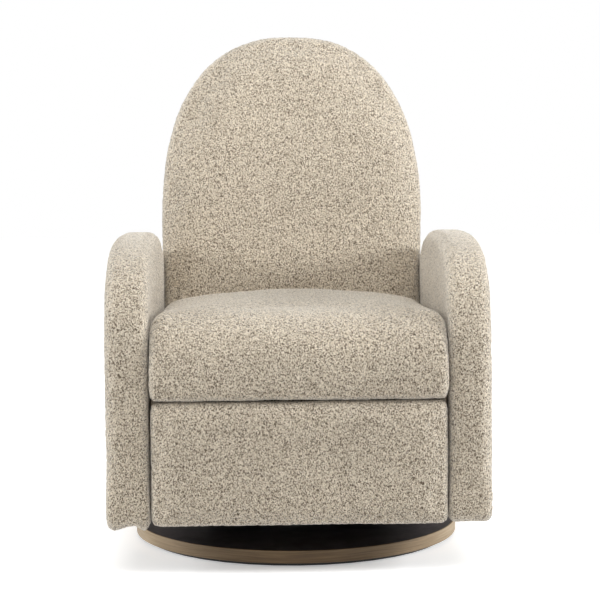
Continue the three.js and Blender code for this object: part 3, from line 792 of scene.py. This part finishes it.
def make_deck_wrap(cloth):
    """Cloth stapled round the front edge of the deck board, under the cushion."""
    low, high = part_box("seat_front_board")
    rear = low.y + SHEET_REACH
    outline = [(low.y - SHEET_GAP, high.z + SHEET_GAP), (rear, high.z + SHEET_GAP)]
    outline += [(rear, high.z + SHEET), (low.y - SHEET, high.z + SHEET)]
    outline += [(low.y - SHEET, low.z - SHEET), (rear, low.z - SHEET)]
    outline += [(rear, low.z - SHEET_GAP), (low.y - SHEET_GAP, low.z - SHEET_GAP)]
    across = Matrix(((0, 0, 1, 0), (1, 0, 0, 0), (0, 1, 0, 0), (0, 0, 0, 1)))
    wrap = slab("deck_front_wrap", outline, high.x - low.x - 0.002, 0.0005, across)
    wrap.data.materials.append(cloth)
    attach(wrap, "carriage")


def facing_front(middle):
    """Places an outline of (x, z) points on the panel whose middle is given, with the thickness along Y."""
    return Matrix(((1, 0, 0, 0), (0, 0, -1, middle.y), (0, 1, 0, middle.z), (0, 0, 0, 1)))


def make_footrest(cloth):
    low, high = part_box("footrest_pad")
    middle, half = (low + high) / 2, (high - low) / 2
    outline = rounded_rectangle(half.x, half.z, 0.021)
    pad = slab("footrest_panel", outline, 2 * half.y, 0.020, facing_front(middle))
    remeshed(pad, VOXEL["footrest"], 1)

    def seam(points):
        return np.clip((points[:, 1] - high.y + 0.016) / 0.012, 0, 1)

    swell(pad, seam, (0.001, FOOTREST_CROWN, 0.001))
    fit(pad, points_of(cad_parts["footrest_pad"]))
    body = facing_front(middle + Vector((0, FOOTREST_CROWN / 2, 0)))
    corners = rounded_rectangle(half.x - 0.001, half.z - 0.001, 0.012)

    def off_front(points):
        return rise(points[:, 1], low.y + 0.014, 0.006)

    def pressed():
        press_out(pad, slab("shell", outline, 2 * half.y - FOOTREST_CROWN, 0.017, body))
        press_out(pad, slab("shell", corners, 2 * half.y - 0.002, 0.008, facing_front(middle)), off_front)

    refine(pad, pressed)
    nub(pad)
    seat_board(pad)
    upholstered(pad, "footrest_pad", "footrest_panel", cloth)


def seat_board(pad):
    """Presses the pad's rear in where the footrest's plywood board lies in it."""
    low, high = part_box("footrest_board")
    points = points_of(pad)
    across = np.abs(points[:, 0]) < high.x + 0.001
    upright = (points[:, 2] > low.z - 0.001) & (points[:, 2] < high.z + 0.001)
    under_board = (points[:, 1] > low.y - 0.004) & across & upright
    points[:, 1] = np.where(under_board, np.minimum(points[:, 1], low.y - 0.0005), points[:, 1])
    set_points(pad, points)


def make_rear_panel(cloth):
    low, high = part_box("rear_panel")
    middle, half = (low + high) / 2, (high - low) / 2
    outline = rounded_rectangle(half.x, half.z, 0.012)
    panel = slab("lower_back_panel", outline, 2 * half.y, 0.005, facing_front(middle))
    remeshed(panel, VOXEL["rear"], 2)

    def seam(points):
        rim = np.minimum(half.x - np.abs(points[:, 0]), half.z - np.abs(points[:, 2] - middle.z))
        return np.where(points[:, 1] < middle.y, 1.0, np.clip(1 - rim / 0.02, 0, 1))

    swell(panel, seam, (0.001, 0.004, 0.001))
    fit(panel, points_of(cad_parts["rear_panel"]), inset=0.0006)
    refine(panel)
    nub(panel)
    upholstered(panel, "rear_panel", "carriage", cloth)


# ---------------------------------------------------------------- CAD nodes' finishes
def soften_edges(obj, width):
    """Rounds a CAD node's edges so that they catch light; the node's own points stay."""
    mesh = obj.data
    if "custom_normal" in mesh.attributes:
        mesh.attributes.remove(mesh.attributes["custom_normal"])
    mesh.polygons.foreach_set("use_smooth", np.ones(len(mesh.polygons), bool))
    weld = obj.modifiers.new("Weld", "WELD")
    weld.merge_threshold = 1e-5
    bevel = obj.modifiers.new("Bevel", "BEVEL")
    bevel.width = width
    bevel.segments = 2
    bevel.limit_method = "ANGLE"
    bevel.angle_limit = math.radians(40)
    bevel.harden_normals = True


def dress_frame():
    """Gives each rigid CAD node the finish that its material slot names, and softly rounded edges."""
    black = moulded_plastic("black_plastic", (0.016, 0.016, 0.018), (0.026, 0.026, 0.028), 0.48)
    grey = moulded_plastic("button_plastic", (0.30, 0.30, 0.31), (0.36, 0.36, 0.37), 0.40)
    finishes = {
        "light_wood": (band_wood(), 0.0010),
        "black_top": (black_laminate(), 0.0008),
        "felt": (felt(), 0.0008),
        "plywood": (plywood(), 0.0010),
        "dark_steel": (powder_coat(), 0.0006),
        "bright_steel": (zinc_plate(), 0.0004),
        "black_plastic": (black, 0.0006),
        "button_plastic": (grey, 0.0006),
    }
    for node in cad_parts.values():
        slot = node.material_slots[0].material.name.split(".")[0]
        if slot in finishes:
            material, width = finishes[slot]
            node.material_slots[0].material = material
            soften_edges(node, width)


# ---------------------------------------------------------------- the chair
make_camera()
make_studio()
make_floor()
dress_frame()
fabric = boucle()
make_seat(fabric)
make_deck_wrap(fabric)
make_back(fabric)
for arm_label, arm_side in (("left", -1), ("right", 1)):
    make_arm(arm_label, arm_side, fabric)
make_footrest(fabric)
make_rear_panel(fabric)
